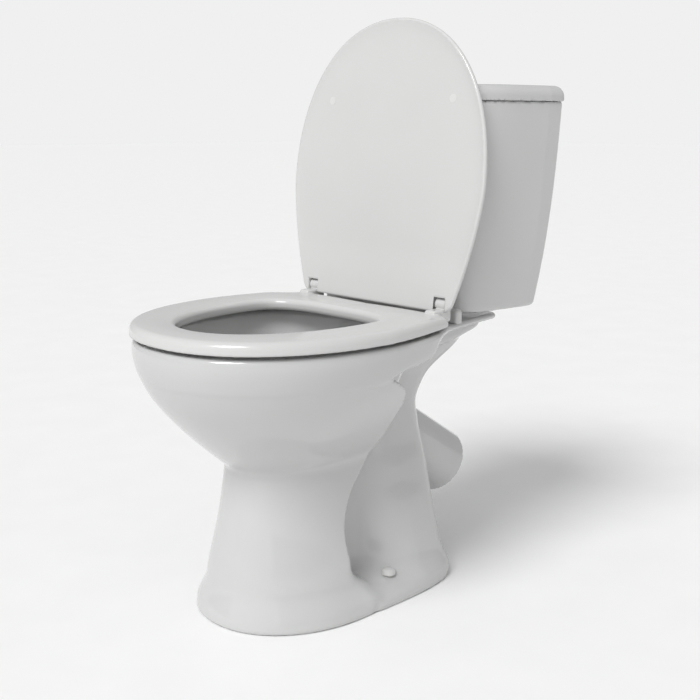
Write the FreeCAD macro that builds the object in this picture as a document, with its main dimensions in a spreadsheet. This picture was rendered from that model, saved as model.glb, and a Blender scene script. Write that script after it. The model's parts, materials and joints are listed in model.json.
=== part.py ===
import FreeCAD, Part
import Sketcher
import math
import os
import re
from FreeCAD import Rotation, Vector

# Close coupled toilet. X is across, the front faces -Y, +Z is up.
# The origin is on the floor, below the middle of the whole object's box.

os.makedirs("parts", exist_ok=True)
doc = FreeCAD.newDocument("CloseCoupledToilet")

# ---------------------------------------------------------------- sizes (mm, degrees)

SIZES = {
    # pan
    "rim_top": 389.5, "bowl_widest": -70,
    "pan_wall": 12, "shelf_thick": 11, "shelf_rear": 235, "shelf_half_front": 143,
    "shelf_half_rear": 113, "foot_front": -223, "foot_rear": 160, "foot_half": 131.6,
    "foot_thick": 32, "spigot_radius": 51.1, "spigot_bore": 39.5, "spigot_fall": 33,
    "spigot_end_back": 227.4, "spigot_end_height": 134.7, "spigot_length": 150,
    "spigot_collar": 60, "spigot_step": 0.9, "trap_wall": 10,
    # floor fixings
    "floor_screw_x": 96, "floor_screw_y": 20, "floor_hole": 5.5, "floor_screw_shank": 3,
    "floor_screw_head": 5.5, "floor_cap_radius": 10.5, "floor_cap_height": 8,
    # coupling between pan and cistern
    "tank_floor": 397, "tank_floor_thick": 12, "flush_y": 182, "inlet_radius": 37,
    "inlet_depth": 34, "coupling_ring_out": 45, "coupling_ring_in": 38,
    "coupling_bolt_x": 66, "coupling_bolt_y": 195, "coupling_bolt": 4, "coupling_hole": 5.5,
    # cistern
    "tank_top": 695, "tank_rear": 300, "tank_wall": 9, "tank_front": 131,
    "tank_bottom_half": 140.5, "tank_top_half": 170.5, "tank_widest": 255,
    "tank_lid_top": 718, "tank_lid_gap": 1.5, "tank_lid_over": 2.5,
    # seat ring and lid
    "ring_front": -300, "ring_half": 188.7, "ring_low": 394, "ring_crown": 412.5,
    "ring_rear": 75, "opening_front": -245, "opening_rear": 6, "opening_half": 121,
    "opening_widest": -62, "hinge_y": 89, "hinge_z": 420, "hinge_pin": 3.5,
    "hinge_boss": 7, "running_fit": 0.05, "lid_rim": 409.9, "lid_front": -303.3,
    "lid_rear": 101.5, "lid_half": 190.7, "lid_widest": -73, "lid_thick": 15.5,
    "lid_dish": 8, "lid_lean": 96.3,
    # hinge bar and its fixings
    "bar_front": 111.5, "bar_back": 124, "bar_half": 137, "bar_top": 410,
    "seat_bolt_x": 77.5, "seat_bolt_y": 117.75, "seat_bolt": 3, "seat_hole": 7,
    # flush valve
    "tail_radius": 28, "tail_bore": 22, "tail_low": 374, "tail_hole": 29.5,
    "valve_flange": 36, "tower_radius": 33, "tower_wall": 2.5, "tower_top": 590,
    "tube_radius": 12, "tube_bore": 10, "tube_top": 604, "rocker_y": 203, "rocker_z": 612,
    "lever_pin": 1.5,
    # buttons
    "button_y": 216, "button_radius": 20, "button_top": 719.5, "bezel_out": 27,
    "bezel_hole": 22.5, "rod_x": 13, "rod_radius": 2.5, "button_height": 9.5,
    # fill valve
    "fill_x": -85, "fill_y": 255, "fill_tail": 10.48, "fill_tail_low": 362, "fill_neck": 10.2,
    "fill_column": 11, "fill_top": 622, "float_out": 27, "float_low": 540,
    "float_high": 604,
}

sheet = doc.addObject("Spreadsheet::Sheet", "Sizes")
for row, (alias, value) in enumerate(SIZES.items(), start=1):
    sheet.set(f"A{row}", alias.replace("_", " "))
    sheet.set(f"B{row}", str(value))
    sheet.setAlias(f"B{row}", alias)
doc.recompute()

nodes = []


def size(text):
    """The number that a sum of named sizes and plain numbers stands for."""
    total = 0.0
    for sign, term in re.findall(r"([+-]?)\s*([a-z_0-9.]+(?:\s*[*/]\s*[a-z_0-9.]+)*)", str(text)):
        product = 1.0
        for mark, factor in re.findall(r"([*/]?)\s*([a-z_0-9.]+)", term):
            number = float(sheet.get(factor)) if factor[0].isalpha() else float(factor)
            product = product / number if mark == "/" else product * number
        total += -product if sign == "-" else product
    return total


def bound(text):
    """The same sum as an expression that reads the spreadsheet."""
    return re.sub(r"[a-z][a-z_0-9]*", lambda word: "Sizes." + word.group(0), str(text))


def bind(item, name, text):
    item.setExpression(name, bound(text))


def place(item, x="0", y="0", z="0"):
    bind(item, "Placement.Base.x", x)
    bind(item, "Placement.Base.y", y)
    bind(item, "Placement.Base.z", z)
    return item


def node(label, item):
    """Names a finished sub-part, which is written to its own file."""
    item.Label = label
    nodes.append(item)
    return item


# ---------------------------------------------------------------- helpers for plain parts


def origin_plane(body, role):
    return next(plane for plane in body.Origin.OriginFeatures if plane.Role == role)


def turned(name, corners, x="0", y="0", z="0"):
    """A body turned about its own upright axis from (radius, height) corners."""
    body = doc.addObject("PartDesign::Body", name)
    sketch = body.newObject("Sketcher::SketchObject", name + "_outline")
    sketch.AttachmentSupport = (origin_plane(body, "XZ_Plane"), [""])
    sketch.MapMode = "FlatFace"
    points = [Vector(size(radius), size(height), 0) for radius, height in corners]
    count = len(points)
    for index, point in enumerate(points):
        sketch.addGeometry(Part.LineSegment(point, points[(index + 1) % count]), False)
    for index in range(count):
        sketch.addConstraint(Sketcher.Constraint("Coincident", index, 2, (index + 1) % count, 1))
    for index, (radius, height) in enumerate(corners):
        for kind, text, value in (("DistanceX", radius, points[index].x),
                                  ("DistanceY", height, points[index].y)):
            if abs(value) < 1e-9:
                on_axis = -2 if kind == "DistanceX" else -1
                sketch.addConstraint(Sketcher.Constraint("PointOnObject", index, 1, on_axis))
            else:
                row = sketch.addConstraint(Sketcher.Constraint(kind, -1, 1, index, 1, value))
                sketch.setExpression(f"Constraints[{row}]", bound(text))
    turn = body.newObject("PartDesign::Revolution", name + "_turn")
    turn.Profile = sketch
    turn.ReferenceAxis = (sketch, ["V_Axis"])
    turn.Angle = 360
    place(body, x, y, z)
    doc.recompute()
    return body


def cylinder(name, radius, height, x="0", y="0", z="0"):
    item = doc.addObject("Part::Cylinder", name)
    bind(item, "Radius", radius)
    bind(item, "Height", height)
    return place(item, x, y, z)


def box(name, long, wide, high, x="0", y="0", z="0"):
    item = doc.addObject("Part::Box", name)
    bind(item, "Length", long)
    bind(item, "Width", wide)
    bind(item, "Height", high)
    return place(item, x, y, z)


def cut(name, base, tool):
    item = doc.addObject("Part::Cut", name)
    item.Base = base
    item.Tool = tool
    return item


def fuse(name, items):
    item = doc.addObject("Part::MultiFuse", name)
    item.Shapes = items
    return item


def pair(name, item):
    """The same fastener on both sides of the middle, as one sub-part."""
    other = doc.addObject("Part::Mirroring", name + "_other_side")
    other.Source = item
    other.Normal = (1, 0, 0)
    both = doc.addObject("Part::Compound", name)
    both.Links = [item, other]
    return node(name, both)


def feature(label, shape):
    item = doc.addObject("Part::Feature", label)
    item.Shape = shape
    return node(label, item)


# ---------------------------------------------------------------- helpers for ceramic shapes


def power(value, exponent):
    return math.copysign(abs(value) ** exponent, value)


def egg(front, rear, half, widest, height, round_front=2.15, round_rear=3.2, count=40):
    """A closed smooth outline: a superellipse in front of the widest line, another behind it."""
    points = []
    for step in range(count):
        angle = 2 * math.pi * (step + 0.5) / count
        roundness = round_rear if math.sin(angle) > 0 else round_front
        depth = rear - widest if math.sin(angle) > 0 else widest - front
        x = half * power(math.cos(angle), 2 / roundness)
        y = widest + depth * power(math.sin(angle), 2 / roundness)
        points.append(Vector(x, y, height))
    curve = Part.BSplineCurve()
    curve.interpolate(Points=points, PeriodicFlag=True)
    return Part.Wire([curve.toShape()])


def loft(sections, ruled=False):
    """A solid through the outlines; ruled sides are straight from one outline to the next."""
    return Part.makeLoft(sections, True, ruled)


def rod(radius, length, base, direction=Vector(0, 0, 1)):
    return Part.makeCylinder(radius, length, base, direction)


def side_plate(corners, low_x, high_x):
    """A flat plate with (y, z) corners, standing across the X axis."""
    points = [Vector(low_x, y, z) for y, z in corners]
    face = Part.Face(Part.makePolygon(points + points[:1]))
    return face.extrude(Vector(high_x - low_x, 0, 0))


def mirrored(shape):
    return shape.mirror(Vector(0, 0, 0), Vector(1, 0, 0))


# ---------------------------------------------------------------- toilet pan

RIM_TOP = size("rim_top")
WALL = size("pan_wall")

# height, front, rear, half width, widest line, roundness behind
FRONT_BODY = (
    (0, -222.9, 10, 131, -64, 2.6), (50, -215, -16, 119, -72, 2.8), (100, -202, -34, 106, -82, 3),
    (150, -190, -40, 97, -86, 3), (200, -182, -28, 93, -84, 3), (225, -191, -16, 99, -80, 3),
    (248, -212, 0, 114, -75, 2.8), (283, -245, 30, 139, -70, 2.6), (317, -270, 62, 160, -70, 2.5),
    (352, -289, 95, 177, -70, 2.6), (376, -296, 112, 184, -70, 2.7),
    (RIM_TOP - 2, -296, 116, 184.6, -70, 2.8), (RIM_TOP, -293, 115, 182, -70, 2.8))

# height, front, widest line, rear, half width
REAR_COLUMN = (
    (15, 16, 76, 155, 104), (40, 14, 78, 153, 99), (63, 6, 78, 150, 93), (90, -10, 78, 146, 84),
    (130, -14, 78, 139, 72), (186, -18, 74, 128, 62), (242, -22, 70, 123, 58),
    (275, -18, 74, 126, 60), (310, 0, 92, 150, 66), (345, 26, 118, 190, 78), (382, 40, 130, 212, 88))

# height, half width of the narrow part between the bowl's body and the column
WAIST = ((15, 62), (60, 56), (130, 52), (200, 50), (280, 54), (340, 66), (382, 84))

# height, how far in from the foot's edge
FOOT_EDGE = ((0, 0), (14, 1.5), (22, 4), (28, 9), (31, 17), (32, 40))

# height, front, rear, half width of the bowl's inside
BASIN = (
    (RIM_TOP + 1, -258, 62, 146), (362, -260, 60, 148), (320, -238, 50, 128),
    (270, -200, 36, 98), (220, -156, 20, 68), (175, -118, 6, 46), (140, -96, -6, 34))


def front_body(inset, low=None):
    sections = []
    for height, front, rear, half, widest, roundness in FRONT_BODY:
        sections.append(egg(front + inset, rear - inset, half - inset, widest, height,
                            2.1, roundness))
    if low is not None:
        height, front, rear, half, widest, roundness = FRONT_BODY[0]
        sections.insert(0, egg(front + inset, rear - inset, half - inset, widest, low,
                               2.1, roundness))
    return loft(sections)


def rear_column(inset, low=None):
    rows = list(REAR_COLUMN)
    waist = list(WAIST)
    if low is not None:
        rows.insert(0, (low,) + REAR_COLUMN[0][1:])
        waist.insert(0, (low, WAIST[0][1]))
    column = loft([egg(front + inset, rear - inset, half - inset, widest, height, 2.2, 2.7)
                   for height, front, widest, rear, half in rows])
    return column.fuse(loft([egg(-110 + inset, 100 - inset, half - inset, 0, height, 4, 4)
                             for height, half in waist]))


def foot():
    front, rear, half = size("foot_front"), size("foot_rear"), size("foot_half")
    return loft([egg(front + inset, rear - inset, half - inset, -64, height, 2.15, 4.2)
                 for height, inset in FOOT_EDGE], ruled=True)


def basin(offset):
    rows = BASIN if offset == 0 else BASIN[1:]
    return loft([egg(front - offset, rear + offset, half + offset, -85, height, 2.1, 2.2)
                 for height, front, rear, half in rows])


def shelf():
    """The flat deck behind the bowl that the cistern stands over."""
    low, high = RIM_TOP - size("shelf_thick"), RIM_TOP
    rear, front_half, rear_half = size("shelf_rear"), size("shelf_half_front"), size("shelf_half_rear")
    corners = [(-front_half, 60), (front_half, 60), (rear_half, rear), (-rear_half, rear)]
    points = [Vector(x, y, low) for x, y in corners]
    slab = Part.Face(Part.makePolygon(points + points[:1])).extrude(Vector(0, 0, high - low))
    upright = [edge for edge in slab.Edges
               if abs(edge.Vertexes[0].Z - edge.Vertexes[1].Z) > 1 and edge.Vertexes[0].Y > 100]
    slab = slab.makeFillet(12, upright)
    return slab


def channel():
    """The flushing channel's box under the shelf, shallower towards the back."""
    corners = [(60, RIM_TOP - 5), (226, RIM_TOP - 5), (226, 372), (170, 354), (118, 348), (60, 345)]
    block = side_plate(corners, -96, 96)
    taper = [Vector(x, y, 300) for x, y in ((84, 150), (140, 150), (140, 260), (84, 260))]
    side = Part.Face(Part.makePolygon(taper + taper[:1])).extrude(Vector(0, 0, 120))
    block = block.cut(side).cut(mirrored(side))
    edges = [edge for edge in block.Edges if abs(edge.Vertexes[0].X - edge.Vertexes[1].X) < 1
             and edge.CenterOfMass.z < RIM_TOP - 10 and edge.CenterOfMass.y > 150]
    return block.makeFillet(6, edges)


def outlet_direction():
    fall = math.radians(size("spigot_fall"))
    return Vector(0, math.cos(fall), -math.sin(fall))


def trapway(radius):
    """The waterway from the sump over the weir to the outlet, as a bent tube."""
    end = Vector(0, size("spigot_end_back"), size("spigot_end_height"))
    way = outlet_direction()
    weir = end - way * 178
    start = Vector(0, -66, 150)
    low = Vector(0, -30, 118)
    path = [start, low, weir, end + way]
    turns = (34, 46)
    edges = []
    last = path[0]
    for index, turn in zip((1, 2), turns):
        corner = path[index]
        back = (path[index - 1] - corner).normalize()
        ahead = (path[index + 1] - corner).normalize()
        half_angle = back.getAngle(ahead) / 2
        reach = turn / math.tan(half_angle)
        middle = corner + (back + ahead).normalize() * (turn / math.sin(half_angle) - turn)
        first, second = corner + back * reach, corner + ahead * reach
        edges.append(Part.LineSegment(last, first).toShape())
        edges.append(Part.Arc(first, middle, second).toShape())
        last = second
    edges.append(Part.LineSegment(last, path[-1]).toShape())
    ring = Part.Wire([Part.Circle(start, (low - start), radius).toShape()])
    return Part.Wire(edges).makePipeShell([ring], True, False)


def pan():
    end = Vector(0, size("spigot_end_back"), size("spigot_end_height"))
    way = outlet_direction()
    length, collar = size("spigot_length"), size("spigot_collar")
    spigot = rod(size("spigot_radius") - size("spigot_step"), length, end - way * length, way)
    spigot = spigot.fuse(rod(size("spigot_radius"), collar, end - way * collar, way))
    skin = front_body(0)
    for piece in (rear_column(0), foot(), shelf(), channel(), spigot):
        skin = skin.fuse(piece)
    hollow = front_body(WALL, low=-1).fuse(rear_column(WALL, low=-1))
    ceiling = Part.makeBox(600, 700, 60, Vector(-300, -350, RIM_TOP - 16))
    hollow = hollow.cut(ceiling)
    hollow = hollow.cut(basin(WALL))
    hollow = hollow.cut(trapway(size("spigot_bore") + size("trap_wall")))
    inlet = Vector(0, size("flush_y"), RIM_TOP - size("inlet_depth"))
    hollow = hollow.cut(Part.makeBox(400, 300, 80, Vector(-200, 42, inlet.z - WALL)))
    for side in (-1, 1):
        screw = Vector(side * size("floor_screw_x"), size("floor_screw_y"), -2)
        hollow = hollow.cut(rod(18, size("foot_thick") + 1, screw))
    body = skin.cut(hollow)
    body = body.cut(basin(0))
    body = body.cut(trapway(size("spigot_bore")))
    body = body.cut(rod(size("inlet_radius"), 80, inlet))
    feed = Vector(0, size("flush_y"), RIM_TOP - 24)
    body = body.cut(rod(8, 140, feed, Vector(0, -1, 0)))
    for side in (-1, 1):
        screw = Vector(side * size("floor_screw_x"), size("floor_screw_y"), -1)
        body = body.cut(rod(size("floor_hole"), 60, screw))
        bolt = Vector(side * size("coupling_bolt_x"), size("coupling_bolt_y"), 300)
        body = body.cut(rod(size("coupling_hole"), 100, bolt))
        body = body.cut(rod(15, RIM_TOP - size("shelf_thick") - 300, bolt))
        seat = Vector(side * size("seat_bolt_x"), size("seat_bolt_y"), 300)
        body = body.cut(rod(size("seat_hole"), 100, seat))
        body = body.cut(rod(14, RIM_TOP - size("shelf_thick") - 300, seat))
    return body


feature("toilet_pan", pan())

# ---------------------------------------------------------------- cistern


def tank_sections(inset, low, high):
    """Outlines of the cistern between two heights; it widens upwards."""
    bottom, top = size("tank_floor"), size("tank_top")
    sections = []
    for share in (0, 0.25, 0.6, 1):
        height = low + (high - low) * share
        rise = (height - bottom) / (top - bottom)
        half_bottom, half_top = size("tank_bottom_half"), size("tank_top_half")
        half = half_bottom + (half_top - half_bottom) * (1.5 * rise - 0.5 * rise * rise)
        rear = size("tank_rear") - 16 * (1 - rise) ** 3
        sections.append(egg(size("tank_front") + inset, rear - inset, half - inset,
                            size("tank_widest"), height, 3.8, 10, 56))
    return sections


def tank():
    low, top = size("tank_floor"), size("tank_top")
    body = loft(tank_sections(0, low, top))
    inside = loft(tank_sections(size("tank_wall"), low + size("tank_floor_thick"), top + 4))
    body = body.cut(inside)
    body = body.cut(rod(size("tail_hole"), 40, Vector(0, size("flush_y"), low - 5)))
    body = body.cut(rod(size("fill_tail") + 1, 40, Vector(size("fill_x"), size("fill_y"), low - 5)))
    for side in (-1, 1):
        bolt = Vector(side * size("coupling_bolt_x"), size("coupling_bolt_y"), low - 5)
        body = body.cut(rod(size("coupling_hole"), 40, bolt))
    return body


def tank_lid():
    top, over = size("tank_lid_top"), size("tank_lid_over")
    bottom = size("tank_top")
    front, rear = size("tank_front"), size("tank_rear")
    half, widest = size("tank_top_half"), size("tank_widest")

    def outline(inset, height):
        return egg(front + inset, rear - inset, half - inset, widest, height, 3.8, 10, 56)

    edge = bottom + size("tank_lid_gap")
    rows = ((-over, edge), (-over, top - 9), (-over + 1.2, top - 4.5), (-over + 4, top - 1.5),
            (-over + 9, top - 0.3), (-over + 16, top))
    slab = loft([outline(inset, height) for inset, height in rows], ruled=True)
    # the lid's back stays flush with the cistern's back, so that it can stand against a wall
    behind = Part.makeBox(400, 20, 40, Vector(-200, rear, bottom - 2))
    slab = slab.cut(behind)
    ledge = loft([outline(3, bottom), outline(3, edge + 1)])
    lip = loft([outline(size("tank_wall") + 1, bottom - 7), outline(size("tank_wall") + 1, edge + 1)])
    pocket = loft([outline(size("tank_wall") + 7, bottom - 8), outline(size("tank_wall") + 9, top - 10)])
    body = slab.fuse(ledge).fuse(lip).cut(pocket)
    return body.cut(rod(size("bezel_hole"), 60, Vector(0, size("button_y"), top - 40)))


feature("cistern_tank", tank())
feature("cistern_lid", tank_lid())

# ---------------------------------------------------------------- seat ring and lid

HINGE = Vector(0, size("hinge_y"), size("hinge_z"))


def seat_outline(inset, height, front, half, widest):
    """A round front and nearly straight sides that close in behind; the tail gets cut off."""
    return egg(front + inset, widest + 380 - inset, half - inset, widest, height, 2.16, 1.5)


def ring_hull(inset, height):
    return seat_outline(inset, height, size("ring_front"), size("ring_half"),
                        size("bowl_widest"))


def opening_hull(inset, height):
    return egg(size("opening_front") + inset, size("opening_rear") - inset,
               size("opening_half") - inset, size("opening_widest"), height, 2.1, 3)


def hinge_lug(low_x, high_x, radius):
    """An ear round the hinge pin, without its hole."""
    return rod(radius, high_x - low_x, HINGE + Vector(low_x, 0, 0), Vector(1, 0, 0))


def ring():
    low, crown = size("ring_low"), size("ring_crown")
    hull = loft([ring_hull(inset, height) for inset, height in (
        (1.5, low), (0, low + 2.5), (0, low + 8), (0.8, crown - 7.5), (2.4, crown - 5.4),
        (5, crown - 3.4), (9, crown - 1.7), (15, crown - 0.5), (24, crown))], ruled=True)
    hole = loft([opening_hull(inset, height) for inset, height in (
        (-1, low - 1), (0, low + 6), (0, crown - 8), (-0.8, crown - 5.5), (-2.8, crown - 3),
        (-6, crown - 1.2), (-10, crown - 0.2), (-11, crown + 1))], ruled=True)
    under = loft([ring_hull(6, low - 1), ring_hull(9, crown - 6)], ruled=True)
    under = under.cut(loft([opening_hull(-6, low - 2), opening_hull(-8, crown - 5)], ruled=True))
    rear = size("ring_rear")
    keep = Part.makeBox(500, rear - 6 + 400, 60, Vector(-250, -400, low - 20))
    body = hull.cut(hole).cut(under.common(keep))
    body = body.cut(Part.makeBox(500, 400, 60, Vector(-250, rear, low - 20)))
    stem = [(rear - 8, low + 2), (93, low + 2), (95.5, 417), (83.5, 417), (80.7, 408.5),
            (rear - 8, 407.5)]
    for side in (1, -1):
        ear = side_plate(stem, 122, 139).fuse(hinge_lug(122, 139, size("hinge_boss")))
        body = body.fuse(ear if side > 0 else mirrored(ear))
    bore = size("hinge_pin") + size("running_fit")
    return body.cut(rod(bore, 320, HINGE - Vector(160, 0, 0), Vector(1, 0, 0)))


def lid():
    """The lid as it lies when shut."""
    rim, thick = size("lid_rim"), size("lid_thick")

    def outline(inset, height):
        return seat_outline(inset, height, size("lid_front"), size("lid_half"),
                            size("lid_widest"))

    hull = loft([outline(inset, rim + height) for inset, height in (
        (0.8, 0), (0, 1.5), (0.3, 6), (1.4, 9), (3.6, 11.4), (8, 13.4), (14, 14.3),
        (24, 15), (45, thick))], ruled=True)
    dish = loft([outline(inset, rim + height) for inset, height in (
        (4, -1), (4.5, 2), (6, 4.4), (9, 6.4), (14, 7.5), (28, size("lid_dish")))], ruled=True)
    rear_solid = Part.makeBox(500, 400, 60, Vector(-250, 76, rim - 10))
    body = hull.cut(dish.cut(rear_solid))
    body = body.cut(Part.makeBox(500, 400, 60, Vector(-250, size("lid_rear"), rim - 10)))
    boss = size("hinge_boss")
    bore = size("hinge_pin") + size("running_fit")
    for low_x in (-200, 74):
        body = body.cut(rod(bore, 126, HINGE + Vector(low_x, 0, 0), Vector(1, 0, 0)))
    ear_gap = Part.makeBox(20, 60, 60, Vector(120.5, HINGE.y - boss - 2, rim - 10))
    arm_gap = Part.makeBox(22, 60, 60, Vector(98, HINGE.y - boss - 2, HINGE.z - boss - 0.5))
    for side in (1, -1):
        for gap in (ear_gap, arm_gap):
            body = body.cut(gap if side > 0 else mirrored(gap))
    return body


feature("seat_ring", ring())
open_lid = feature("seat_lid", lid())
lid_turn = Rotation(Vector(1, 0, 0), -size("lid_lean"))
LID_OPEN = FreeCAD.Placement(Vector(0, 0, 0), lid_turn, HINGE)
open_lid.Placement = LID_OPEN


def pads(places, low, high, radius):
    solids = [rod(radius, high - low, Vector(x, y, low)) for x, y in places]
    return Part.makeCompound(solids)


RING_PADS = ((-150, -150), (150, -150), (-152, 20), (152, 20))
LID_PADS = ((-120, -190), (120, -190), (-130, 35), (130, 35))
feature("ring_buffers", pads(RING_PADS, RIM_TOP + 0.5, size("ring_crown") - 6, 6))
lid_pads = feature("lid_buffers", pads(LID_PADS, size("ring_crown") + 0.6,
                                       size("lid_rim") + size("lid_dish") - 0.5, 6))
lid_pads.Placement = LID_OPEN

# ---------------------------------------------------------------- hinges


def hinge_bar():
    """The fixed bar on the shelf, with two arms that reach forward over the lid's edge."""
    low = RIM_TOP
    front, back, half, top = size("bar_front"), size("bar_back"), size("bar_half"), size("bar_top")
    body = Part.makeBox(2 * half, back - front, top - low, Vector(-half, front, low))
    ends = [edge for edge in body.Edges
            if abs(edge.Vertexes[0].Z - edge.Vertexes[1].Z) > 1]
    body = body.makeFillet(6, ends)
    crown = [edge for edge in body.Edges if edge.CenterOfMass.z > top - 0.1]
    body = body.makeFillet(2, crown)
    boss = size("hinge_boss")
    arm = [(HINGE.y, HINGE.z + boss), (HINGE.y, HINGE.z - boss), (front + 1, HINGE.z - boss),
           (front + 1, low + 4), (back, low + 4), (back, HINGE.z + boss - 4),
           (back - 4, HINGE.z + boss)]
    ear = side_plate(arm, 100, 118).fuse(hinge_lug(100, 118, boss))
    body = body.fuse(ear).fuse(mirrored(ear))
    body = body.cut(rod(size("hinge_pin") + size("running_fit"), 320, HINGE - Vector(160, 0, 0),
                        Vector(1, 0, 0)))
    for side in (-1, 1):
        bolt = Vector(side * size("seat_bolt_x"), size("seat_bolt_y"), low - 1)
        body = body.cut(rod(size("seat_bolt") + 0.2, 60, bolt))
        body = body.cut(rod(5.2, 20, Vector(bolt.x, bolt.y, top - 5)))
    return body


feature("hinge_bar", hinge_bar())

pin = cylinder("hinge_pin", "hinge_pin", "64", "76", "hinge_y", "hinge_z")
pin.Placement.Rotation = Rotation(Vector(0, 1, 0), 90)
pair("hinge_pins", pin)

seat_bolt = turned("seat_bolt", (
    ("0", "0"), ("seat_bolt", "0"), ("seat_bolt", "49"), ("5", "49"), ("5", "51.5"), ("3.5", "53"),
    ("0", "53")), "seat_bolt_x", "seat_bolt_y", "bar_top - 54")
pair("seat_bolts", seat_bolt)

seat_cone = turned("seat_cone", (
    ("seat_bolt", "0"), ("11", "0"), ("11", "3"), ("seat_hole - 0.3", "4"),
    ("seat_hole - 1.5", "11"), ("seat_bolt", "11")),
    "seat_bolt_x", "seat_bolt_y", "rim_top - shelf_thick - 4")
pair("seat_bolt_cones", seat_cone)


def wing_nut(name, bore, x, y, z):
    hub = turned(name + "_hub", (
        (bore, "0"), ("7", "0"), ("9", "8"), ("9", "10"), (bore, "10")), x, y, z)
    wing = box(name + "_wing", "24", "2.5", "8", f"{x} - 12", f"{y} - 1.25", z)
    hole = cylinder(name + "_hole", bore, "30", x, y, f"{z} - 5")
    whole = fuse(name + "_blank", [hub, wing])
    return cut(name, whole, hole)


pair("seat_wing_nuts", wing_nut("seat_wing_nut", "seat_bolt", "seat_bolt_x", "seat_bolt_y",
                                "rim_top - shelf_thick - 14"))

# ---------------------------------------------------------------- floor fixings

floor_screw = turned("floor_screw", (
    ("0", "1"), ("floor_screw_shank", "1"), ("floor_screw_shank", "foot_thick + 2"),
    ("floor_screw_head", "foot_thick + 2"), ("floor_screw_head", "foot_thick + 4"),
    ("floor_screw_head - 2", "foot_thick + 5.5"), ("0", "foot_thick + 5.5")),
    "floor_screw_x", "floor_screw_y", "0")
pair("floor_screws", floor_screw)

sleeve = turned("floor_sleeve", (
    ("floor_screw_shank", "2"), ("floor_hole", "2"), ("floor_hole", "foot_thick + 0.2"),
    ("floor_hole + 3", "foot_thick + 0.2"), ("floor_hole + 3", "foot_thick + 2"),
    ("floor_screw_shank", "foot_thick + 2")), "floor_screw_x", "floor_screw_y", "0")
pair("floor_screw_sleeves", sleeve)

cap = turned("floor_cap", (
    ("floor_cap_radius - 1.5", "0"), ("floor_cap_radius", "0"), ("floor_cap_radius", "2"),
    ("floor_cap_radius - 1", "5"), ("floor_cap_radius - 4", "7.4"), ("0", "floor_cap_height + 0.4"),
    ("0", "floor_cap_height - 1.2"), ("floor_cap_radius - 5", "floor_cap_height - 1.8"),
    ("floor_cap_radius - 1.5", "2")), "floor_screw_x", "floor_screw_y", "foot_thick + 0.2")
pair("floor_screw_caps", cap)

# ---------------------------------------------------------------- pan to cistern coupling

node("coupling_gasket", turned("coupling_gasket", (
    ("coupling_ring_in", "0"), ("coupling_ring_out", "0"), ("coupling_ring_out", "tank_floor - rim_top"),
    ("coupling_ring_in", "tank_floor - rim_top")), "0", "flush_y", "rim_top"))

coupling_bolt = turned("coupling_bolt", (
    ("0", "0"), ("coupling_bolt", "0"), ("coupling_bolt", "47"), ("8", "47"), ("8", "50.5"),
    ("6", "52.5"), ("0", "52.5")), "coupling_bolt_x", "coupling_bolt_y", "tank_floor + 15 - 47")
pair("coupling_bolts", coupling_bolt)


def washer(name, inner, outer, thick, x, y, z):
    return turned(name, ((inner, "0"), (outer, "0"), (outer, thick), (inner, thick)), x, y, z)


inside_floor = "tank_floor + tank_floor_thick"
pair("coupling_rubber_washers", washer(
    "coupling_rubber_washer", "coupling_bolt", "11", "3", "coupling_bolt_x", "coupling_bolt_y",
    inside_floor))
pair("coupling_steel_washers", washer(
    "coupling_steel_washer", "coupling_bolt", "12", "1.5", "coupling_bolt_x", "coupling_bolt_y",
    "rim_top - shelf_thick - 1.5"))
pair("coupling_wing_nuts", wing_nut(
    "coupling_wing_nut", "coupling_bolt", "coupling_bolt_x", "coupling_bolt_y",
    "rim_top - shelf_thick - 11.5"))

# ---------------------------------------------------------------- flush valve

node("flush_valve_gasket", washer("flush_valve_gasket", "tail_radius", "valve_flange - 2", "3",
                                  "0", "flush_y", inside_floor))
node("flush_valve_nut", washer("flush_valve_nut", "tail_radius", "valve_flange", "8",
                               "0", "flush_y", "tank_floor - 8"))

seat_z = "tank_floor_thick + tank_floor - tail_low"
node("flush_valve_base", turned("flush_valve_base", (
    ("tail_bore", "0"), ("tail_radius", "0"), ("tail_radius", seat_z + " + 3"),
    ("valve_flange", seat_z + " + 3"), ("valve_flange", seat_z + " + 7"),
    ("tail_bore + 2", seat_z + " + 7"), ("tail_bore", seat_z + " + 9")),
    "0", "flush_y", "tail_low"))


def tower():
    """The cage of the flush valve, with windows for the water and ears for the lever."""
    low = size(inside_floor) + 7
    top, outer, wall = size("tower_top"), size("tower_radius"), size("tower_wall")
    base = Vector(0, size("flush_y"), low)
    body = rod(outer, top - low, base).cut(rod(outer - wall, top - low - 4, base))
    body = body.cut(rod(size("tube_radius") + 0.6, 30, base + Vector(0, 0, top - low - 15)))
    for angle in (0, 60, 120):
        window = Part.makeBox(2 * outer + 4, 16, 70, Vector(-outer - 2, -8, 0))
        window.rotate(Vector(0, 0, 0), Vector(0, 0, 1), angle)
        window.translate(base + Vector(0, 0, 12))
        body = body.cut(window)
    ear_corners = [(size("rocker_y") - 5, top - 2), (size("rocker_y") + 5, top - 2),
                   (size("rocker_y") + 4, size("rocker_z") + 4), (size("rocker_y") - 4, size("rocker_z") + 4)]
    for low_x in (4, 17):
        body = body.fuse(side_plate(ear_corners, low_x, low_x + 5))
    pivot = Vector(0, size("rocker_y"), size("rocker_z"))
    return body.cut(rod(size("lever_pin"), 30, pivot, Vector(1, 0, 0)))


feature("flush_valve_tower", tower())


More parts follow.
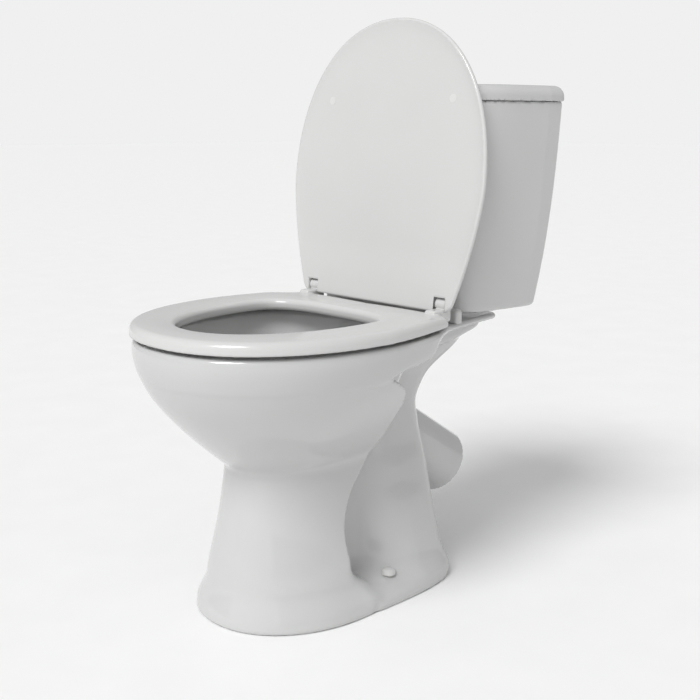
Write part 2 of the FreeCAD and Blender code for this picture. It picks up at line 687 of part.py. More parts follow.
def overflow_tube():
    """The rising overflow tube with its foot disc and the collar that the lever lifts."""
    axis = Vector(0, size("flush_y"), 0)
    low = size(inside_floor) + 10.5
    body = rod(size("tube_radius"), size("tube_top") - low, axis + Vector(0, 0, low))
    body = body.fuse(rod(27, 4, axis + Vector(0, 0, low)))
    body = body.fuse(rod(18, 2.5, axis + Vector(0, 0, size("tube_top") + 12)))
    body = body.fuse(rod(size("tube_radius"), 14.5, axis + Vector(0, 0, size("tube_top"))))
    return body.cut(rod(size("tube_bore"), 400, axis + Vector(0, 0, low - 5)))


feature("overflow_tube", overflow_tube())
node("flush_valve_seal", washer("flush_valve_seal", "tube_bore", "27", "1.5", "0", "flush_y",
                                inside_floor + " + 9"))


def flush_lever():
    """The lever that turns the button's push into the tube's lift."""
    pivot_y, pivot_z = size("rocker_y"), size("rocker_z")
    arm = [(pivot_y - 11.5, pivot_z), (pivot_y - 11, pivot_z + 2.5), (pivot_y + 18, pivot_z + 2.5),
           (pivot_y + 18, pivot_z - 1), (pivot_y + 5, pivot_z - 4), (pivot_y - 5, pivot_z - 4)]
    plate = side_plate(arm, 9.4, 16.6)
    pivot = Vector(0, pivot_y, pivot_z)
    return plate.cut(rod(size("lever_pin") + size("running_fit"), 30, pivot, Vector(1, 0, 0)))


feature("flush_lever", flush_lever())
lever_pin = cylinder("flush_lever_pin", "lever_pin", "20", "3", "rocker_y", "rocker_z")
lever_pin.Placement.Rotation = Rotation(Vector(0, 1, 0), 90)
node("flush_lever_pin", lever_pin)

# ---------------------------------------------------------------- dual flush button


def button(side, gap, share):
    """One part of the split round button; share is where the split lies along X."""
    high = size("button_height")
    centre = Vector(0, size("button_y"), size("button_top") - high)
    disc = rod(size("button_radius"), high, centre)
    rim = [edge for edge in disc.Edges if edge.CenterOfMass.z > centre.z + high - 1]
    disc = disc.makeFillet(1.2, rim)
    disc = disc.cut(rod(size("button_radius") - 1.5, high - 3, centre))
    cutter = Part.makeBox(100, 100, 40, Vector(share + side * gap / 2 - (100 if side > 0 else 0),
                                               centre.y - 50, centre.z - 5))
    return disc.cut(cutter)


SPLIT = -3
feature("button_full", button(1, 0.8, SPLIT))
feature("button_half", button(-1, 0.8, SPLIT))


def push_rod(x, low):
    high = size("button_top") - 3
    return rod(size("rod_radius"), high - low, Vector(x, size("button_y"), low))


feature("push_rod_full", push_rod(size("rod_x"), size("rocker_z") + 4.5))
feature("push_rod_half", push_rod(-size("rod_x"), size("tower_top") + 14))

node("button_bezel", turned("button_bezel", (
    ("button_radius + 0.4", "0"), ("bezel_hole - 0.5", "0"), ("bezel_hole - 0.5", "14"),
    ("bezel_out", "14"), ("bezel_out", "15"), ("bezel_out - 2", "17.5"),
    ("button_radius + 0.4", "17.5")), "0", "button_y", "tank_lid_top - 14"))


def clamp_nut():
    """The nut under the lid, with a floor that carries the springs and guides the rods."""
    top = size("tank_lid_top") - 10
    axis = Vector(0, size("button_y"), 0)
    body = rod(31, 9, axis + Vector(0, 0, top - 9))
    body = body.cut(rod(size("bezel_hole") - 0.5, 7, axis + Vector(0, 0, top - 7)))
    body = body.cut(rod(size("rod_radius") + 0.4, 60, axis + Vector(size("rod_x"), 0, top - 40)))
    return body.cut(rod(size("rod_radius") + 0.4, 60, axis + Vector(-size("rod_x"), 0, top - 40)))


feature("button_clamp_nut", clamp_nut())


def spring(x):
    """A plain sleeve that stands for the return spring round a push rod."""
    low = size("tank_lid_top") - 17
    high = size("button_top") - 3.1
    axis = Vector(x, size("button_y"), low)
    return rod(4.6, high - low, axis).cut(rod(3.4, high - low, axis))


feature("spring_full", spring(size("rod_x")))
feature("spring_half", spring(-size("rod_x")))

# ---------------------------------------------------------------- fill valve

fill_column = turned("fill_column_turned", (
    ("4", "0"), ("fill_tail", "0"), ("fill_tail", "tank_floor - 9 - fill_tail_low"),
    ("fill_neck", "tank_floor - 9 - fill_tail_low"),
    ("fill_neck", "tank_floor + tank_floor_thick + 3 - fill_tail_low"),
    ("16", "tank_floor + tank_floor_thick + 3 - fill_tail_low"),
    ("16", "tank_floor + tank_floor_thick + 8 - fill_tail_low"),
    ("fill_column", "tank_floor + tank_floor_thick + 10 - fill_tail_low"),
    ("fill_column", "fill_top - fill_tail_low"), ("18", "fill_top + 4 - fill_tail_low"),
    ("18", "fill_top + 16 - fill_tail_low"), ("12", "fill_top + 22 - fill_tail_low"),
    ("4", "fill_top + 22 - fill_tail_low")), "fill_x", "fill_y", "fill_tail_low")
ears = [box(f"fill_ear_{index}", "10", "2", "7", "fill_x + 16.5", f"fill_y + {offset}", "fill_top + 6")
        for index, offset in enumerate(("2.8", "0 - 4.8"))]
fill_blank = fuse("fill_blank", [fill_column] + ears)
ear_bore = cylinder("fill_ear_bore", "lever_pin", "20", "fill_x + 22.5", "fill_y + 10", "fill_top + 9.5")
ear_bore.Placement.Rotation = Rotation(Vector(1, 0, 0), 90)
node("fill_valve_body", cut("fill_valve_body", fill_blank, ear_bore))
fill_pin = cylinder("fill_lever_pin", "lever_pin", "10", "fill_x + 22.5", "fill_y + 5", "fill_top + 9.5")
fill_pin.Placement.Rotation = Rotation(Vector(1, 0, 0), 90)
node("fill_lever_pin", fill_pin)
node("fill_valve_washer", washer("fill_valve_washer", "fill_neck", "15", "3", "fill_x", "fill_y",
                                 inside_floor))
node("fill_valve_nut", washer("fill_valve_nut", "fill_neck", "17", "9", "fill_x", "fill_y",
                              "tank_floor - 9"))
float_cup = turned("float_cup", (
    ("fill_column + 0.5", "0"), ("float_out - 2", "0"), ("float_out", "2"),
    ("float_out", "float_high - float_low"), ("float_out - 2", "float_high - float_low"),
    ("float_out - 2", "3"), ("fill_column + 2.5", "3"), ("fill_column + 2.5", "float_high - float_low"),
    ("fill_column + 0.5", "float_high - float_low")), "fill_x", "fill_y", "float_low")
float_arm = box("float_arm", "21", "5", "4", "fill_x + float_out - 1", "fill_y - 2.5", "float_high - 6")
float_link = cylinder("float_link", "2.5", "fill_top - 5.5 - float_high + 4", "fill_x + 43", "fill_y",
                      "float_high - 4")
node("fill_valve_float", fuse("fill_valve_float", [float_cup, float_arm, float_link]))


def fill_lever():
    """The valve's arm, which follows the float."""
    x, y, z = size("fill_x"), size("fill_y"), size("fill_top")
    arm = Part.makeBox(24, 5, 3, Vector(x + 20.5, y - 2.5, z + 8))
    knuckle = rod(4, 5, Vector(x + 22.5, y - 2.5, z + 9.5), Vector(0, 1, 0))
    tip = Part.makeBox(3, 5, 14, Vector(x + 41.5, y - 2.5, z - 4))
    pivot = Vector(x + 22.5, y - 10, z + 9.5)
    bore = rod(size("lever_pin") + size("running_fit"), 20, pivot, Vector(0, 1, 0))
    return arm.fuse(knuckle).fuse(tip).cut(bore)


feature("fill_valve_lever", fill_lever())

# ---------------------------------------------------------------- checks and files

doc.recompute()
for item in doc.Objects:
    if "Invalid" in item.State or "Error" in item.State:
        raise SystemExit(f"{item.Label} failed: {item.State}")
for item in nodes:
    if item.Shape.isNull() or not item.Shape.isValid():
        raise SystemExit(f"{item.Label} has no valid shape")
    item.Shape.exportStep(f"parts/{item.Label}.step")
    box_now = item.Shape.optimalBoundingBox(True, False)
    print(f"{item.Label:26s} solids {len(item.Shape.Solids)} volume {item.Shape.Volume / 1000:9.1f} cm3"
          f"  x {box_now.XMin:7.1f} {box_now.XMax:7.1f}  y {box_now.YMin:7.1f} {box_now.YMax:7.1f}"
          f"  z {box_now.ZMin:7.1f} {box_now.ZMax:7.1f}")
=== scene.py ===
import json
import math

import bpy
import numpy as np
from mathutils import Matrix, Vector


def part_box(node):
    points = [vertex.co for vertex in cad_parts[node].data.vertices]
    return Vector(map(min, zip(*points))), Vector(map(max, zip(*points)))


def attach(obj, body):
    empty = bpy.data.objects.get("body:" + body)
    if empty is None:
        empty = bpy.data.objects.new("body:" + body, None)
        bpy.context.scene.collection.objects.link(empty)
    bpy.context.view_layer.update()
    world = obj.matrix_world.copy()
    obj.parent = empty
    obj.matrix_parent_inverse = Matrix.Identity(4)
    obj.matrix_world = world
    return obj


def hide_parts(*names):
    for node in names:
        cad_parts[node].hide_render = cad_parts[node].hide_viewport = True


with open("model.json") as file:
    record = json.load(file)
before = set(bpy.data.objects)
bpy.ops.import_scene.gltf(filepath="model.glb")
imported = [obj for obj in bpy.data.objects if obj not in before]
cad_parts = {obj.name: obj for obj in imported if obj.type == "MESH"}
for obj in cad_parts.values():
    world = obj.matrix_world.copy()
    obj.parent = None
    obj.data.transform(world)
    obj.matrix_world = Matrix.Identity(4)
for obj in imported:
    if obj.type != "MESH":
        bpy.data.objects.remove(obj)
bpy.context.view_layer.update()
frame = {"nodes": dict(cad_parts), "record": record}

import openvdb
from mathutils import Matrix, Vector

# Close coupled toilet: the visible skins. Lengths are in millimetres until a mesh is made.
# X is across, the bowl faces -Y, +Z is up, and the origin is on the floor.

MM = 0.001


def limits(node):
    """Lowest and highest corner of a CAD node in millimetres."""
    low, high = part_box(node)
    return np.array(low) / MM, np.array(high) / MM


PAN_LOW, PAN_HIGH = limits("toilet_pan")
RING_LOW, RING_HIGH = limits("seat_ring")
TANK_LOW, TANK_HIGH = limits("cistern_tank")
COVER_LOW, COVER_HIGH = limits("cistern_lid")
BAR_LOW, BAR_HIGH = limits("hinge_bar")

RIM = PAN_HIGH[2]
HINGE_Y = 89.0
HINGE_Z = 420.0
LID_LEAN = math.radians(96.3)


# ---------------------------------------------------------------- fields
# A shape is a function of x, y, z that is negative inside, near to a distance in millimetres.


def curve(rows, column, at):
    """A smooth curve of one column over the first one: a natural cubic spline."""
    knots = np.array([row[0] for row in rows], float)
    values = np.array([row[column] for row in rows], float)
    gaps = np.diff(knots)
    slopes = np.diff(values) / gaps
    count = len(knots)
    matrix, right = np.eye(count), np.zeros(count)
    for i in range(1, count - 1):
        matrix[i, i - 1:i + 2] = gaps[i - 1], 2 * (gaps[i - 1] + gaps[i]), gaps[i]
        right[i] = 6 * (slopes[i] - slopes[i - 1])
    bend = np.linalg.solve(matrix, right)
    at = np.clip(at, knots[0], knots[-1])
    i = np.clip(np.searchsorted(knots, at) - 1, 0, count - 2)
    gap = gaps[i]
    before, after = (knots[i + 1] - at) / gap, (at - knots[i]) / gap
    curved = (before ** 3 - before) * bend[i] + (after ** 3 - after) * bend[i + 1]
    return before * values[i] + after * values[i + 1] + curved * gap ** 2 / 6


def ramp(at, start, end):
    """Rises smoothly from 0 to 1 between two places."""
    share = np.clip((at - start) / (end - start), 0, 1)
    return share * share * (3 - 2 * share)


def both(a, b, width=0.0):
    """What two shapes share, with a soft edge about as wide as width."""
    share = np.maximum(width - np.abs(a - b), 0) / np.maximum(width, 1e-9)
    return np.maximum(a, b) + share ** 3 * width / 6


def either(a, b, width=0.0):
    """Two shapes joined, with a soft hollow where they meet."""
    return -both(-a, -b, width)


def rounded(a, b, radius):
    """What two shapes share, with a true round edge."""
    corner = np.hypot(np.maximum(a + radius, 0), np.maximum(b + radius, 0))
    return np.minimum(np.maximum(a, b), -radius) + corner


def without(a, b, radius):
    """The first shape less the second, with a true round edge."""
    return rounded(a, -b, radius)


def egg(x, y, front, rear, half, widest, round_front, round_rear):
    """A superellipse in front of its widest line and another behind it."""
    ahead = widest - y
    depth = np.where(ahead > 0, widest - front, rear - widest)
    power = np.where(ahead > 0, round_front, round_rear)
    across = np.abs(x) / half + 1e-6
    along = np.abs(ahead) / depth + 1e-6
    total = (across ** power + along ** power) ** (1 / power)
    steep = np.hypot(across ** (power - 1) / half, along ** (power - 1) / depth)
    return (total - 1) * total ** (power - 1) / steep


def block(x, y, z, low, high, radius):
    """A box with all its edges rounded."""
    sides = [np.abs(v - (a + b) / 2) - (b - a) / 2 + radius
             for v, a, b in zip((x, y, z), low, high)]
    outside = np.sqrt(sum(np.maximum(side, 0) ** 2 for side in sides))
    inside = np.minimum(np.maximum(np.maximum(sides[0], sides[1]), sides[2]), 0)
    return outside + inside - radius


def capsule(x, y, z, start, end, radius):
    """A round bar between two points."""
    run = np.subtract(end, start)
    x, y, z = x - start[0], y - start[1], z - start[2]
    share = np.clip((x * run[0] + y * run[1] + z * run[2]) / (run @ run), 0, 1)
    return np.sqrt((x - share * run[0]) ** 2 + (y - share * run[1]) ** 2
                   + (z - share * run[2]) ** 2) - radius


def barrel(x, y, z, half, radius, edge):
    """A round bar on the hinge's line, from |x| = half[0] to half[1]."""
    side = np.hypot(y - HINGE_Y, z - HINGE_Z) - radius
    ends = np.abs(np.abs(x) - (half[0] + half[1]) / 2) - (half[1] - half[0]) / 2
    return rounded(side, ends, edge)


# ---------------------------------------------------------------- meshes


def slope_of(field, points, reach=0.05):
    """The field and its gradient at some points."""
    columns = [points[:, k] for k in range(3)]
    slopes = []
    for k in range(3):
        ahead, behind = list(columns), list(columns)
        ahead[k] = columns[k] + reach
        behind[k] = columns[k] - reach
        slopes.append((field(*ahead) - field(*behind)) / (2 * reach))
    return field(*columns), np.stack(slopes, 1)


def piece(name, points, faces, normals, turn=None):
    """A mesh object from points in millimetres, with smooth shading."""
    points = points * MM
    if turn is not None:
        turning = np.array(turn.to_3x3())
        points = points @ turning.T + np.array(turn.translation)
        normals = normals @ turning.T
    mesh = bpy.data.meshes.new(name)
    mesh.from_pydata(points.tolist(), [], faces)
    mesh.polygons.foreach_set("use_smooth", [True] * len(mesh.polygons))
    mesh.update()
    mesh.normals_split_custom_set_from_vertices(normals.tolist())
    item = bpy.data.objects.new(name, mesh)
    bpy.context.scene.collection.objects.link(item)
    return item


def skin(name, field, low, high, cell, turn=None):
    """The surface where a field is zero, drawn on a grid and then pulled onto the field."""
    margin = 2 * cell
    low = np.array(low, float) - margin
    counts = [int(math.ceil(c / cell)) + 1 for c in np.array(high, float) + margin - low]
    x, y, z = np.ix_(*[low[k] + cell * np.arange(counts[k]) for k in range(3)])
    values = np.clip(field(x, y, z) / cell, -3, 3)
    grid = openvdb.FloatGrid(3.0)
    grid.copyFromArray(np.ascontiguousarray(np.broadcast_to(values, counts), np.float32))
    points, triangles, quads = grid.convertToPolygons(0.0, 0.0)
    points = low + points.astype(float) * cell
    for _ in range(3):
        value, slopes = slope_of(field, points)
        step = slopes * (value / np.maximum((slopes ** 2).sum(1), 0.05))[:, None]
        points -= np.clip(step, -cell / 2, cell / 2)
    slopes = slope_of(field, points)[1]
    normals = slopes / np.maximum(np.linalg.norm(slopes, axis=1), 1e-6)[:, None]
    faces = triangles.tolist() + quads.tolist()
    return piece(name, points, faces, normals, turn)


# ---------------------------------------------------------------- toilet pan

# height, front, half width
BOWL = (
    (150, -100, 20), (180, -140, 50), (215, -184, 85), (248, -221, 114), (283, -255, 141),
    (317, -281, 163), (352, -296, 179), (376, -299, 185), (390, -297, 185))

# height, front, half width
PEDESTAL = (
    (0, -220, 129), (10, -220, 128.5), (25, -215.5, 122.5), (43, -208.5, 112.5), (60, -205.5, 108),
    (80, -202, 103.5), (129, -190.5, 93), (173, -182, 88.5), (205, -177, 86), (260, -172, 85))

# height, where the body ends and the side recess starts
RECESS_EDGE = (
    (0, -26), (40, -36), (52, -49), (75, -59), (107, -62), (150, -53), (180, -36), (207, -13),
    (232, -4), (290, -5), (311, -9), (326, -22), (345, -54))

# height, how deep in front of the widest line, widest line, rear, half width
RIDGE = (
    (0, 62, 76, 158, 120), (30, 64, 76, 156, 114), (47, 70, 77, 153, 108), (70, 80, 78, 149, 103),
    (95, 90, 78, 145, 98), (130, 98, 78, 141, 91), (155, 100, 77, 140, 85), (188, 98, 75, 137, 78),
    (220, 94, 73, 132, 71), (245, 92, 72, 128, 68), (270, 90, 73, 127, 66), (290, 90, 80, 137, 67),
    (310, 92, 92, 153, 70), (345, 92, 118, 204, 84), (382, 92, 130, 222, 93))

# height, half width between the body and the ridge
WAIST = ((0, 62), (60, 57), (130, 53), (200, 52), (280, 55), (340, 68), (385, 88))

# how far back, underside of the rim and of the shelf
DECK_UNDER = (
    (-70, 341), (-55, 346), (-40, 351), (-10, 355), (16, 357), (28, 361), (38, 371), (52, 378),
    (80, 380), (150, 380.5), (235, 380.5))

# how far back, underside of the flushing channel, its half width
CHANNEL = (
    (40, 342, 98), (118, 349, 96), (164, 354, 93), (195, 360, 91), (214, 364, 89), (232, 373, 88))

# height, front, rear, half width
BASIN = (
    (110, -94, -8, 26), (140, -98, -6, 36), (175, -120, 6, 48), (220, -158, 22, 72),
    (270, -204, 40, 104), (320, -243, 56, 134), (345, -254, 62, 144), (395, -260, 66, 150))

SPIGOT_END = np.array((0.0, 227.4, 134.7))
SPIGOT_WAY = np.array((0.0, math.cos(math.radians(33)), -math.sin(math.radians(33))))
SPIGOT_RADIUS = 51.1
SPIGOT_BORE = 39.5
WATERWAY = ((0, -60, 150), (0, -36, 112), (0, 14, 150), (0, 74, 226))
WATERWAY_RADII = (33, 34, 35)

BOWL_WALL = 12
PEDESTAL_TOP = 262
FOOT_REAR = 160
SHELF_HALF = 143
SHELF_FRONT = 60
SHELF_REAR = 235
LIP_LOW = 340
FOOT_HOLLOW = 55
FOOT_WALL = 14


def spigot(x, y, z, radius, start, end):
    """A round bar along the outlet's line; start and end are counted back from its mouth."""
    y, z = y - SPIGOT_END[1], z - SPIGOT_END[2]
    along = y * SPIGOT_WAY[1] + z * SPIGOT_WAY[2]
    away = np.sqrt(x ** 2 + (y - along * SPIGOT_WAY[1]) ** 2 + (z - along * SPIGOT_WAY[2]) ** 2)
    return away - radius, along - end, start - along


def basin(x, y, z):
    """The wide part of the bowl's inside."""
    return egg(x, y, curve(BASIN, 1, z), curve(BASIN, 2, z), curve(BASIN, 3, z), -85, 2.1, 2.3)


def pan_outside(x, y, z):
    """The bowl on its pedestal, the column behind the recess, the foot, the shelf and the outlet."""
    bowl = egg(x, y, curve(BOWL, 1, z), 118, curve(BOWL, 2, z), -70, 2.1, 2.7)
    front, half = curve(PEDESTAL, 1, z), curve(PEDESTAL, 2, z)
    pedestal = egg(x, y, front, 110, half, -64, 2.1, 3.0)
    body = either(bowl, both(pedestal, z - PEDESTAL_TOP, 8), 16)
    body = rounded(body, y - curve(RECESS_EDGE, 1, z), 6 + 16 * ramp(-z, -85, -40))

    widest, rear = curve(RIDGE, 2, z), curve(RIDGE, 3, z)
    ridge = egg(x, y, widest - curve(RIDGE, 1, z), rear, curve(RIDGE, 4, z), widest, 2.1, 3.5)
    waist = egg(x, y, -110, 100, curve(WAIST, 1, z), 0, 4, 4)
    column = either(ridge, waist, 34)

    foot = egg(x, y, front, FOOT_REAR, half + 1, -64, 2.1, 4.5)
    foot_top = 22 + 14 * ramp(-foot, 0, 45)
    foot = rounded(foot + 30 * ramp(-y, 20, 100), z - foot_top, 14)

    side = np.abs(x) - SHELF_HALF + (y - SHELF_FRONT) * 30 / 175
    shelf = rounded(rounded(side, y - SHELF_REAR, 16), -60 - y, 10)
    deck = both(either(bowl, shelf, 40), curve(DECK_UNDER, 1, y) - z, 9)

    channel = rounded(np.abs(x) - curve(CHANNEL, 2, y), curve(CHANNEL, 1, y) - z, 9)
    channel = rounded(channel, y - 226, 12)
    channel = both(channel, 20 - y)

    outlet, mouth, root = spigot(x, y, z, SPIGOT_RADIUS, -150, 0)
    outlet = both(rounded(outlet, mouth, 3), root)

    shell = basin(x, y, z) - BOWL_WALL
    whole = either(either(body, column, 26), both(shell, 250 - z, 20), 20)
    whole = either(whole, foot, 8 + 32 * ramp(z, 4, 24))
    whole = either(whole, outlet, 7)
    whole = either(whole, channel, 8)
    whole = either(whole, deck, 5)
    whole = rounded(whole, z - RIM, 6)
    return rounded(whole, -z, 4)


def pan_inside(x, y, z):
    """Everything that water and hands reach: the bowl, its flushing rim and the waterway."""
    flare = 0.28 * (z - 389)
    lip = egg(x, y, -258 - flare, 62 + flare, 148 + flare, -85, 2.1, 2.3)
    inside = either(both(basin(x, y, z), z - 346, 6), both(lip, LIP_LOW - z, 4), 8)
    inside = rounded(inside, 112 - z, 12)
    for start, end, radius in zip(WATERWAY, WATERWAY[1:], WATERWAY_RADII):
        inside = either(inside, capsule(x, y, z, start, end, radius), 12)
    bore, mouth, root = spigot(x, y, z, SPIGOT_BORE, -182, 20)
    return either(inside, both(both(bore, mouth), root, 20), 12)


def pan(x, y, z):
    """The whole pan, with its waterway and the hollow under its foot."""
    outside = pan_outside(x, y, z)
    whole = without(outside, pan_inside(x, y, z), 5)
    hollow = both(both(outside + FOOT_WALL, z - FOOT_HOLLOW, 14), -pan_inside(x, y, z) + BOWL_WALL)
    return without(whole, hollow, 2)


def make_pan():
    return skin("pan_glazed_body", pan, PAN_LOW, PAN_HIGH, 4.0)


# ---------------------------------------------------------------- seat ring and lid

RING_HALF = 188.7
RING_REAR = 75
RING_CROWN = 412.5

# front, rear, half width, widest line
RING_OPENING = (-245, 6, 121, -62)

LID_FRONT = -303.3
LID_HALF = 190.5
LID_REAR = 101.5
LID_UNDER = 409.9
LID_THICK = 15.5

# top of the thin skin that the lid keeps in front of the hinge bar's arms
LID_SKIN = 412.5
SEAT_TAIL = 380

# the ring's ears and the hinge bar's arms, from the middle outwards
EAR = (121, 140)
ARM = (100, 118)

def seat_outline(x, y, front, half, widest):
    """A round front and nearly straight sides that close in behind; the tail gets cut off."""
    return egg(x, y, front, widest + SEAT_TAIL, half, widest, 2.16, 1.5)


def seat(x, y, z):
    """The seat ring lying down, with the two ears that hold it to the hinge."""
    low = RING_LOW[2]
    outer = seat_outline(x, y, RING_LOW[1], RING_HALF, -70)
    opening = egg(x, y, *RING_OPENING, 2.1, 3)
    share = np.clip(-outer / np.maximum(opening - outer, 1), 0, 1)
    top = z - (RING_CROWN - 2.4 * (2 * share - 1) ** 2 - 3.2 * ramp(y, 10, 72))
    band = rounded(rounded(outer, y - RING_REAR, 12), top, 9)
    band = rounded(band, low - z, 2.5)
    band = without(band, opening, 7)
    under = both(both(outer + 7, y - 68), 7 - opening)
    band = without(band, both(under, z - RING_CROWN + 6), 1.5)
    stem = block(np.abs(x), y, z, (EAR[0], 60, low + 2), (EAR[1], 95.5, 414), 3)
    ears = either(stem, barrel(x, y, z, EAR, 8.2, 1.5), 3)
    return either(band, ears, 4)


def lid(x, y, z):
    """The lid lying shut; its hollow underside faces the ring."""
    outer = rounded(seat_outline(x, y, LID_FRONT, LID_HALF, -73), y - LID_REAR, 13)
    inward = np.maximum(-outer - 20, 0)
    crown = LID_UNDER + LID_THICK - 0.0013 * np.maximum(60 - inward, 0) ** 2
    hull = rounded(outer, z - crown, 9)
    hollow = 3.4 * (1 - np.exp(-np.maximum(-outer - 3, 0) / 9)) * ramp(-y, -76, -14)
    hull = rounded(hull, LID_UNDER + hollow - z, 4)
    corner = both(np.abs(np.abs(x) - sum(EAR) / 2) - 10, 80.5 - y)
    arm = both(both(98 - np.abs(x), 80 - y), np.maximum(np.abs(x) - EAR[0], LID_SKIN - z))
    return without(without(hull, corner, 1.5), arm, 1)


def lid_turn():
    """From lying level over the ring to leaning on the cistern."""
    hinge = Vector((0, HINGE_Y * MM, HINGE_Z * MM))
    turn = Matrix.Rotation(-LID_LEAN, 4, "X")
    return Matrix.Translation(hinge) @ turn @ Matrix.Translation(-hinge)


def make_seat():
    return skin("seat_ring_shell", seat, RING_LOW, RING_HIGH, 2.6)


def make_lid():
    return skin("seat_lid_shell", lid, (-191, -304, 409), (191, 107, 426), 2.6, lid_turn())


# ---------------------------------------------------------------- hinge bar


def bar(x, y, z):
    """The bar behind the seat, with the two arms that carry the hinge pins."""
    low, high = BAR_LOW, BAR_HIGH
    beam = block(x, y, z, (low[0], 111.5, low[2] - 4), (high[0], high[1], 410), 5)
    arm = block(np.abs(x), y, z, (ARM[0], HINGE_Y, HINGE_Z - 7), (ARM[1], high[1], HINGE_Z + 7), 2.5)
    neck = block(np.abs(x), y, z, (ARM[0], 112.5, low[2]), (ARM[1], high[1], HINGE_Z + 7), 2.5)
    arm = either(either(arm, neck), barrel(x, y, z, ARM, 7, 1.5), 2)
    return both(either(beam, arm, 4), low[2] - z)


def make_bar():
    return skin("hinge_bar_shell", bar, BAR_LOW, BAR_HIGH, 1.6)


# ---------------------------------------------------------------- cistern

TANK_FRONT = 131
TANK_WIDEST = 262
TANK_TAPER = 0.13
TANK_TOP_HALF = 170.5
TANK_BOTTOM_HALF = 140.5
TANK_WALL = 9
BUTTON_Y = 216
BUTTON_HOLE = 22.5

def tank_plan(x, y, rear, half):
    """A bowed front, sides that draw in towards it, and a flat back with tight corners."""
    side = half - TANK_TAPER * np.maximum(TANK_WIDEST - y, 0)
    return egg(x * half / side, y, TANK_FRONT, rear, half, TANK_WIDEST, 6, 12)


def tank_outline(x, y, z, inset):
    """The tank's side walls, which spread towards the top."""
    rise = np.clip((z - TANK_LOW[2]) / (TANK_HIGH[2] - TANK_LOW[2]), 0, 1)
    half = TANK_BOTTOM_HALF + (TANK_TOP_HALF - TANK_BOTTOM_HALF) * (1.5 * rise - 0.5 * rise ** 2)
    return tank_plan(x, y, TANK_HIGH[1] - 16 * (1 - rise) ** 3, half) + inset


def tank(x, y, z):
    """The open tank."""
    low, high = TANK_LOW[2], TANK_HIGH[2]
    outer = rounded(rounded(tank_outline(x, y, z, 0), low - z, 7), z - high, 2)
    inside = rounded(tank_outline(x, y, z, TANK_WALL), low + 12 - z, 10)
    return without(outer, inside, 2)


def cover(x, y, z):
    """The loose cover: a slab, a lip inside the tank, a pocket below and the button's hole."""
    low, high = TANK_HIGH[2], COVER_HIGH[2]
    outline = tank_plan(x, y, TANK_HIGH[1], TANK_TOP_HALF)
    inward = np.maximum(-outline - 2, 0)
    slab = rounded(outline - 2.5, z - high + 1.2 * np.exp(-inward / 30), 15)
    slab = rounded(rounded(slab, y - TANK_HIGH[1], 2), low + 0.2 - z, 1)
    lip = both(outline + 10, low - 7 - z)
    whole = either(slab, both(lip, z - high + 8))
    pocket = both(outline + 16, z - high + 9, 6)
    whole = without(whole, pocket, 2)
    hole = np.hypot(x, y - BUTTON_Y) - BUTTON_HOLE
    return without(whole, hole, 1)


def make_tank():
    return skin("cistern_shell", tank, TANK_LOW, TANK_HIGH, 4.0)


def make_cover():
    return skin("cistern_cover", cover, COVER_LOW, COVER_HIGH, 3.0)


# ---------------------------------------------------------------- materials


def finish(name, colour, rough, metal=0.0, ripple=(60.0, 0.05), mottle=0.02, coat=0.0, wear=0.04):
    """A procedural finish: faint colour drift, uneven gloss and a fine surface ripple."""
    material = bpy.data.materials.new(name)
    material.use_nodes = True
    tree = material.node_tree
    shader = tree.nodes["Principled BSDF"]
    shader.inputs["Metallic"].default_value = metal
    shader.inputs["Coat Weight"].default_value = coat
    shader.inputs["Coat Roughness"].default_value = 0.03
    place = tree.nodes.new("ShaderNodeTexCoord").outputs["Object"]

    def noise(scale, detail):
        made = tree.nodes.new("ShaderNodeTexNoise")
        made.inputs["Scale"].default_value = scale
        made.inputs["Detail"].default_value = detail
        tree.links.new(place, made.inputs["Vector"])
        return made.outputs["Fac"]

    def spread(source, low, high):
        made = tree.nodes.new("ShaderNodeValToRGB")
        made.color_ramp.elements[0].position = 0.3
        made.color_ramp.elements[1].position = 0.7
        made.color_ramp.elements[0].color = (*low, 1)
        made.color_ramp.elements[1].color = (*high, 1)
        tree.links.new(source, made.inputs["Fac"])
        return made.outputs["Color"]

    darker = tuple(part * (1 - mottle) for part in colour)
    tree.links.new(spread(noise(9.0, 3.0), darker, colour), shader.inputs["Base Color"])
    gloss = spread(noise(26.0, 5.0), (rough,) * 3, (rough + wear,) * 3)
    tree.links.new(gloss, shader.inputs["Roughness"])
    bump = tree.nodes.new("ShaderNodeBump")
    bump.inputs["Strength"].default_value = 0.35
    bump.inputs["Distance"].default_value = ripple[1] * MM
    tree.links.new(noise(ripple[0], 2.0), bump.inputs["Height"])
    tree.links.new(bump.outputs["Normal"], shader.inputs["Normal"])
    return material


MATERIALS = {
    "ceramic": finish("glazed_ceramic", (0.555, 0.56, 0.555), 0.07, ripple=(45.0, 0.12), coat=0.4),
    "seat_plastic": finish("seat_gloss_plastic", (0.62, 0.62, 0.615), 0.14, ripple=(70.0, 0.05)),
    "buffer_rubber": finish("pale_rubber", (0.66, 0.66, 0.65), 0.4, ripple=(600.0, 0.1)),
    "steel": finish("brushed_steel", (0.55, 0.56, 0.57), 0.28, 1.0, (900.0, 0.03)),
    "brass_bolt": finish("brass", (0.72, 0.53, 0.24), 0.3, 1.0, (700.0, 0.04), 0.15),
    "black_rubber": finish("black_rubber", (0.03, 0.03, 0.032), 0.6, ripple=(800.0, 0.2)),
    "nylon": finish("nylon", (0.78, 0.78, 0.75), 0.35, ripple=(500.0, 0.08)),
    "valve_plastic": finish("valve_plastic", (0.16, 0.24, 0.42), 0.35, ripple=(500.0, 0.08)),
    "chrome_button": finish("chrome", (0.76, 0.77, 0.79), 0.06, 1.0, (200.0, 0.01), wear=0.03),
}


def dress_nodes():
    """Every CAD node that stays takes the finish of its own material slot."""
    for part in frame["record"]["subparts"]:
        mesh = frame["nodes"][part["node"]].data
        mesh.materials.clear()
        mesh.materials.append(MATERIALS[part["material_slot"]])


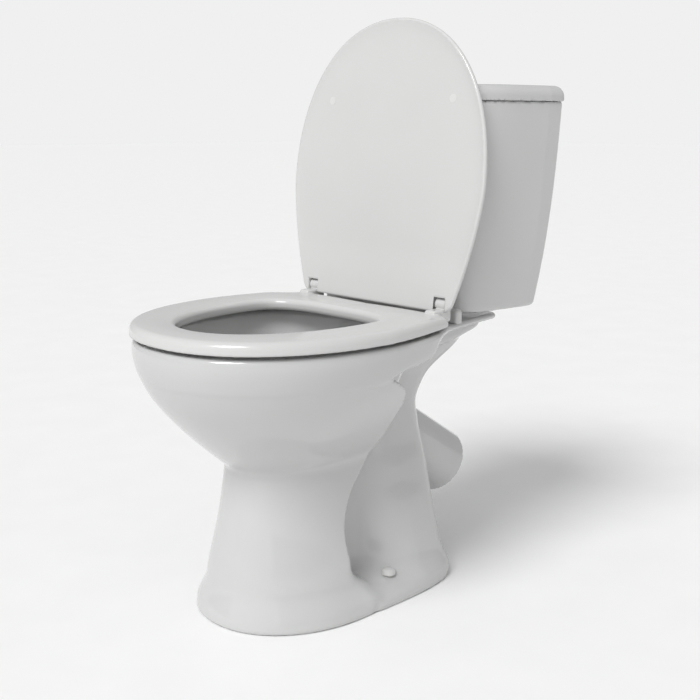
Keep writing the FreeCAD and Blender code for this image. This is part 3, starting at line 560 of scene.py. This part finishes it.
def settle(item, body, slot, *nodes):
    """Rides a finished piece on its body, in place of its CAD nodes."""
    item.data.materials.append(MATERIALS[slot])
    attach(item, body)
    if nodes:
        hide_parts(*nodes)


# ---------------------------------------------------------------- studio

FLOOR_REACH = 30.0

# what the world lights the scene with, and how bright the camera sees it
WORLD_LIGHT = 0.49
WORLD_SEEN = 0.87

CAMERA_LENS = 55.44
CAMERA_PLACE = (1.1099, -1.0173, 0.6656)
CAMERA_DOWN = 11.91
CAMERA_TURN = 46.53

def floor():
    mesh = bpy.data.meshes.new("studio_floor")
    reach = FLOOR_REACH
    corners = [(-reach, -reach, 0), (reach, -reach, 0), (reach, reach, 0), (-reach, reach, 0)]
    mesh.from_pydata(corners, [], [(0, 1, 2, 3)])
    item = bpy.data.objects.new("studio_floor", mesh)
    bpy.context.scene.collection.objects.link(item)
    item.data.materials.append(finish("pale_floor", (0.93, 0.93, 0.93), 0.6, ripple=(8.0, 0.02)))


def lamp(name, towards, width, strength):
    """A big far lamp in one direction, so many degrees wide."""
    light = bpy.data.lights.new(name, "SUN")
    light.angle = math.radians(width)
    light.energy = strength
    item = bpy.data.objects.new(name, light)
    item.location = towards
    item.rotation_euler = (-Vector(towards)).to_track_quat("-Z", "Y").to_euler()
    bpy.context.scene.collection.objects.link(item)


def studio():
    lamp("key", (0.145, -0.626, 0.766), 24, 1.97)
    lamp("window", (0.21, -0.92, 0.30), 70, 0.43)
    world = bpy.data.worlds.new("studio")
    bpy.context.scene.world = world
    world.use_nodes = True
    tree = world.node_tree
    sky = tree.nodes["Background"]
    sky.inputs["Color"].default_value = (1, 1, 1, 1)
    strength = tree.nodes.new("ShaderNodeMapRange")
    strength.inputs["To Min"].default_value = WORLD_LIGHT
    strength.inputs["To Max"].default_value = WORLD_SEEN
    path = tree.nodes.new("ShaderNodeLightPath")
    tree.links.new(path.outputs["Is Camera Ray"], strength.inputs["Value"])
    tree.links.new(strength.outputs["Result"], sky.inputs["Strength"])


def camera():
    sensor = bpy.data.cameras.new("camera")
    sensor.lens = CAMERA_LENS
    item = bpy.data.objects.new("camera", sensor)
    item.location = CAMERA_PLACE
    item.rotation_euler = (math.radians(90 - CAMERA_DOWN), 0, math.radians(CAMERA_TURN))
    bpy.context.scene.collection.objects.link(item)
    bpy.context.scene.camera = item


dress_nodes()
settle(make_pan(), "toilet", "ceramic", "toilet_pan")
settle(make_tank(), "toilet", "ceramic", "cistern_tank")
settle(make_cover(), "toilet", "ceramic", "cistern_lid")
settle(make_seat(), "seat", "seat_plastic", "seat_ring")
settle(make_lid(), "lid", "seat_plastic", "seat_lid")
settle(make_bar(), "toilet", "seat_plastic", "hinge_bar")
floor()
studio()
camera()
bpy.context.scene.view_settings.view_transform = "Standard"
